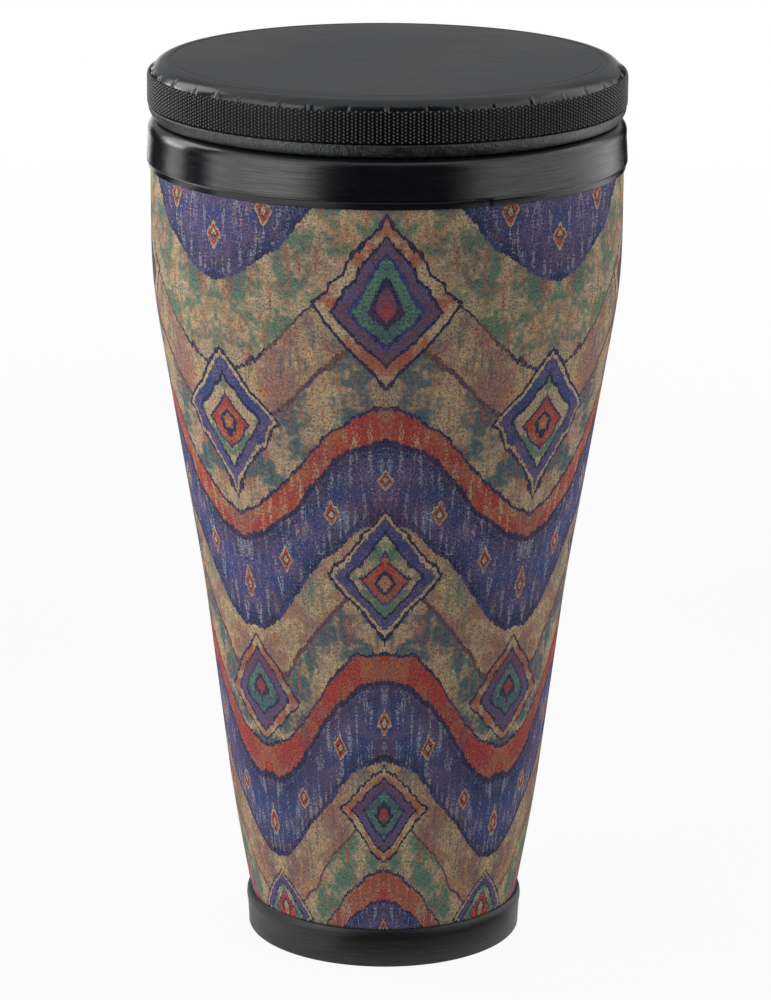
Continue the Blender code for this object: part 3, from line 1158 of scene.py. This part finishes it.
def nick_lip(piece, radius, bottom):
    """A small knock in the collar's lower lip, right of the front."""
    for vertex in piece.data.vertices:
        if vertex.co.z > bottom + NICK_TOP or from_axis(vertex.co) < radius - NICK_REACH_IN:
            continue
        across = math.radians(turn_between(FRONT + NICK_ANGLE, angle_of(vertex.co))) * radius
        scuff = SCUFF_SHARE * bell(across - SCUFF_PLACE, SCUFF_WIDTH)
        dent = NICK_DEPTH * (bell(across, NICK_WIDTH) + scuff)
        push_out(vertex, -dent, dent * NICK_LIFT)


def cloth_line():
    """The cloth's outer line, bottom to top, read from the frame and eased over its corners."""
    widest = {}
    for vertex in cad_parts["fabric_wrap"].data.vertices:
        height = round(vertex.co.z, HEIGHT_DIGITS)
        widest[height] = max(widest.get(height, 0.0), from_axis(vertex.co))
    stations = [(height, widest[height]) for height in sorted(widest)]
    low, high = stations[0][0], stations[-1][0]
    line = []
    for step in range(CLOTH_STEPS + 1):
        height = low + (high - low) * step / CLOTH_STEPS
        ease = min(CLOTH_EASE, height - low, high - height) / EASE_SAMPLES
        offsets = range(-EASE_SAMPLES, EASE_SAMPLES + 1)
        samples = [radius_at(stations, height + ease * offset) for offset in offsets]
        line.append((sum(samples) / len(samples), height))
    return line


def radius_at(stations, height):
    """The radius at a height, on the straight lines between stations of (height, radius)."""
    for (z0, r0), (z1, r1) in zip(stations, stations[1:]):
        if height <= z1:
            return r0 + (r1 - r0) * (height - z0) / (z1 - z0)
    return stations[-1][1]


def make_cloth():
    """The printed cloth, bonded all over, with one lapped upright seam at the back."""
    line = cloth_line()
    inside = [(r - CLOTH_THICKNESS, z) for r, z in line]
    piece = turn_outline("printed_cloth_wrap", line[::-1] + inside, CLOTH_FACETS)
    lay_out_cloth(piece)
    lap_seam(piece, line)
    return finish_piece(piece, cloth_material(), "drum_shell", "fabric_wrap")


def lay_out_cloth(piece):
    """Gives the cloth its own UV map, in turns from the seam and metres up."""
    layer = piece.data.uv_layers.new(name="cloth")
    for face in piece.data.polygons:
        middle = angle_of(face.center)
        start = turn_between(SEAM_ANGLE, middle) % 360.0
        for corner in face.loop_indices:
            place = piece.data.vertices[piece.data.loops[corner].vertex_index].co
            angle = start + turn_between(middle, angle_of(place))
            layer.data[corner].uv = (angle / 360.0, place.z)


def lap_seam(piece, line):
    """Lifts the cloth's last few degrees over its first, on its outer face only."""
    stations = [(z, r) for r, z in line]
    for vertex in piece.data.vertices:
        past = turn_between(SEAM_ANGLE, angle_of(vertex.co))
        on_face = from_axis(vertex.co) > radius_at(stations, vertex.co.z) - SEAM_FACE_DEPTH
        if on_face and -SEAM_WIDTH < past <= 0.0:
            push_out(vertex, SEAM_STEP * min(1.0, (past + SEAM_WIDTH) / SEAM_RISE))


def make_shell():
    """The fibre tube under the cloth, open at both ends."""
    bottom, top = reach("shell")[1:]
    line = [(r, z) for r, z in cloth_line() if bottom < z < top]
    slope = (line[1][0] - line[0][0]) / (line[1][1] - line[0][1])
    low_end = (line[0][0] - slope * (line[0][1] - bottom), bottom)
    line = [low_end, *line[::2], (line[-1][0], top)]
    outside = [(r - SHELL_INSET, z) for r, z in reversed(line)]
    inside = [(r - SHELL_INSET - SHELL_WALL, z) for r, z in line]
    piece = turn_outline("fibre_tube", outside + inside, HIDDEN_FACETS)
    material = fibre_material("fibre_shell", *SHELL_TONES)
    return finish_piece(piece, material, "drum_shell", "shell")


def make_foot():
    """The foot moulding: flared lip, upright wall, rounded base and the channel for the tube."""
    radius, bottom, top = reach("foot_ring")
    base = radius - FOOT_BASE_INSET
    centre = (base - FOOT_EDGE_ROUND, bottom + FOOT_EDGE_ROUND)
    outline = [
        *down_from(radius, top, FOOT_LIP_FACE),
        (base, bottom + FOOT_BASE_TOP),
        *bend(centre, FOOT_EDGE_ROUND, 0, -90, FOOT_ROUND_STEPS),
        *FOOT_CHANNEL,
        (FOOT_LIP_BORE, top - FOOT_LIP_LEAD_IN),
    ]
    piece = turn_outline("foot_moulding", outline, FOOT_FACETS)
    material = moulding_material("black_rubber", *FOOT_LOOKS)
    return finish_piece(piece, material, "drum_shell", "foot_ring")


# Studio


def seen_directly(tree):
    """1 for rays from the camera, gloss or glass, and 0 for those that light the drum."""
    ray = add(tree, "LightPath").outputs
    indirect = calc(tree, "MAXIMUM", ray["Is Glossy Ray"], ray["Is Transmission Ray"])
    return calc(tree, "MAXIMUM", ray["Is Camera Ray"], indirect)


def make_floor():
    """A wide pale floor. The camera sees it nearly white, with a trace of the drum's shadow."""
    bpy.ops.object.select_all(action="DESELECT")
    bpy.ops.mesh.primitive_circle_add(location=(0, 0, 0), **FLOOR_MESH)
    floor = bpy.context.object
    floor.name = "floor"
    material, tree, shader, place = new_material("floor_white")
    tree.nodes.remove(shader)
    matt = add(tree, "BsdfDiffuse", Color=grey(FLOOR_GREY)).outputs[0]
    white = add(tree, "Emission", Color=grey(1.0), Strength=1.0).outputs[0]
    away = squared_distance(tree, place)
    share = add(tree, "MapRange", Value=away, **FLOOR_WHITENING).outputs[0]
    surface = add(tree, "MixShader", Fac=calc(tree, "MULTIPLY", seen_directly(tree), share))
    wire(tree, surface.inputs[1], matt)
    wire(tree, surface.inputs[2], white)
    feed(tree, tree.nodes["Material Output"], Surface=surface.outputs[0])
    floor.data.materials.append(material)


def make_world():
    """A white room that lights the drum less than it shows to the camera."""
    world = bpy.data.worlds.new("studio")
    bpy.context.scene.world = world
    world.use_nodes = True
    tree = world.node_tree
    strength = calc(tree, "MULTIPLY_ADD", seen_directly(tree), 1.0 - ROOM_LIGHT, ROOM_LIGHT)
    feed(tree, tree.nodes["Background"], Color=grey(1.0), Strength=strength)


def bearing_point(bearing, distance, height):
    """A point by its bearing, its distance from the drum's axis and its height."""
    angle = math.radians(bearing)
    return Vector((distance * math.sin(angle), -distance * math.cos(angle), height))


def sweep_sheet(name, start, end, place, move):
    """A thin sheet: a line from a place along a move, swept from bearing to bearing."""
    sheet = start_point(name, place)
    bpy.ops.mesh.extrude_vertices_move(TRANSFORM_OT_translate={"value": move})
    bpy.ops.mesh.select_all(action="SELECT")
    steps = int((end - start) / CURTAIN_FACET)
    sweep = math.radians(start - end)
    bpy.ops.mesh.spin(steps=steps, angle=sweep, center=(0, 0, 0), axis=(0, 0, 1))
    bpy.ops.object.mode_set(mode="OBJECT")
    settle(sheet)
    sheet.visible_camera = False
    return sheet


def make_curtain(name, start, end, distance, low, high, light):
    """A studio curtain or card along a round rail. The camera doesn't see it, but gloss does."""
    place = bearing_point(start, distance, low + CURTAIN_LIFT)
    curtain = sweep_sheet(name, start, end, place, (0, 0, high - low))
    material, tree, shader = new_material(name)[:3]
    feed(tree, shader, Base_Color=grey(CURTAIN_GREY), Specular_IOR_Level=0.0, Roughness=1.0)
    feed(tree, shader, Emission_Color=grey(1.0), Emission_Strength=light)
    curtain.data.materials.append(material)


def make_apron():
    """A dark sweep over the floor in front. Only gloss sees it, so the floor stays white."""
    start, end = APRON_BEARINGS
    place = bearing_point(start, APRON_START, APRON_LIFT)
    move = bearing_point(start, APRON_END - APRON_START, 0.0)
    apron = sweep_sheet("front_apron", start, end, place, move)
    apron.data.materials.append(bpy.data.materials["front_curtain"])
    apron.visible_diffuse = False
    apron.visible_shadow = False


def make_soft_box(name, bearing, low, high, width, radiance):
    """An upright soft box that faces the drum's axis, with its own light per area."""
    lamp = bpy.data.lights.new(name, "AREA")
    lamp.shape = "RECTANGLE"
    lamp.size = width
    lamp.size_y = high - low
    lamp.energy = radiance * math.pi * lamp.size * lamp.size_y
    item = bpy.data.objects.new(name, lamp)
    item.location = bearing_point(bearing, BOX_DISTANCE, (low + high) / 2)
    aim = Vector((0, 0, item.location.z)) - item.location
    item.rotation_euler = aim.to_track_quat("-Z", "Y").to_euler()
    item.visible_camera = False
    bpy.context.scene.collection.objects.link(item)


def make_lights():
    for soft_box in SOFT_BOXES:
        make_soft_box(*soft_box)
    for curtain in CURTAINS:
        make_curtain(*curtain)
    make_apron()


def make_camera():
    data = bpy.data.cameras.new("camera")
    data.sensor_fit = "VERTICAL"
    data.sensor_height = CAMERA_SENSOR
    data.lens = CAMERA_LENS
    data.clip_end = CAMERA_FAR
    camera = bpy.data.objects.new("camera", data)
    camera.location = CAMERA_PLACE
    upright = Euler((math.radians(CAMERA_TILT), 0.0, 0.0)).to_matrix()
    roll = Matrix.Rotation(math.radians(CAMERA_ROLL), 3, "Z")
    camera.rotation_euler = (upright @ roll).to_euler()
    bpy.context.scene.collection.objects.link(camera)
    bpy.context.scene.camera = camera


make_camera()
make_film()
make_strap()
make_cushion()
make_hoop()
make_centring_ring()
make_collar()
make_cloth()
make_shell()
make_foot()
make_floor()
make_world()
make_lights()
bpy.context.scene.view_settings.view_transform = "Standard"
